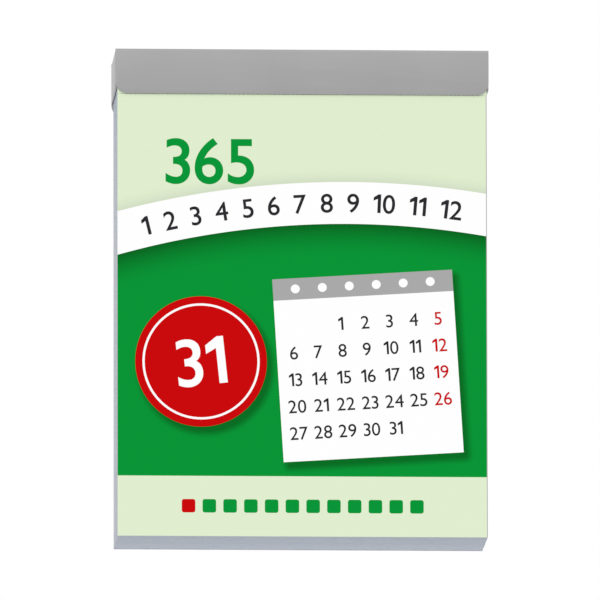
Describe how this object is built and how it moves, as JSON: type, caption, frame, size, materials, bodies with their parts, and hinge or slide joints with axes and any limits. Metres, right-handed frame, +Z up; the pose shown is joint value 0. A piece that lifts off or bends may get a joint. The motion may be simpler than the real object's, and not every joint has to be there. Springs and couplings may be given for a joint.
{
  "type": "tear off day calendar",
  "caption": "Wall-hung tear off day calendar: a block of day leaves on a board, with a lift-up cover, held by a folded metal header with a nail hole.",
  "frame": {"origin": "centre of the hanging hole, on the wall plane (outer face of the header's rear flap)", "axes": "+X to the right seen from the front, +Y into the wall, +Z up; the cover faces -Y"},
  "size_m": [0.083, 0.0225, 0.1092],
  "materials": {
    "header_sheet": "satin",
    "grey_board": "matte",
    "steel_wire": "satin",
    "padding_glue": "satin",
    "cover_paper": "satin",
    "leaf_paper": "matte"
  },
  "bodies": {
    "block": {"header_cap": "header_sheet", "back_board": "grey_board", "staple_left": "steel_wire", "staple_right": "steel_wire", "spine_glue": "padding_glue", "cover_stub": "cover_paper", "leaf_1_stub": "leaf_paper", "leaf_2_stub": "leaf_paper", "leaves_january": "leaf_paper", "leaves_february": "leaf_paper", "leaves_march": "leaf_paper", "leaves_april": "leaf_paper", "leaves_may": "leaf_paper", "leaves_june": "leaf_paper", "leaves_july": "leaf_paper", "leaves_august": "leaf_paper", "leaves_september": "leaf_paper", "leaves_october": "leaf_paper", "leaves_november": "leaf_paper", "leaves_december": "leaf_paper"},
    "leaf_2": {"leaf_2": "leaf_paper"},
    "leaf_1": {"leaf_1": "leaf_paper"},
    "cover": {"cover_sheet": "cover_paper"}
  },
  "joints": [
    {"name": "leaf_2_lift", "type": "hinge", "parent": "block", "child": "leaf_2", "pos_m": [0, -0.02252, -0.0041], "axis": [-1, 0, 0], "range_deg": [0, 30], "stiffness_Nm_per_rad": 0.004},
    {"name": "leaf_1_tear_off", "type": "slide", "parent": "leaf_2", "child": "leaf_1", "axis": [0, 0, -1], "range_m": [0, 0.105]},
    {"name": "cover_lift", "type": "hinge", "parent": "leaf_2", "child": "cover", "pos_m": [0, -0.02252, -0.0041], "axis": [-1, 0, 0], "range_deg": [0, 145], "stiffness_Nm_per_rad": 0.004}
  ]
}
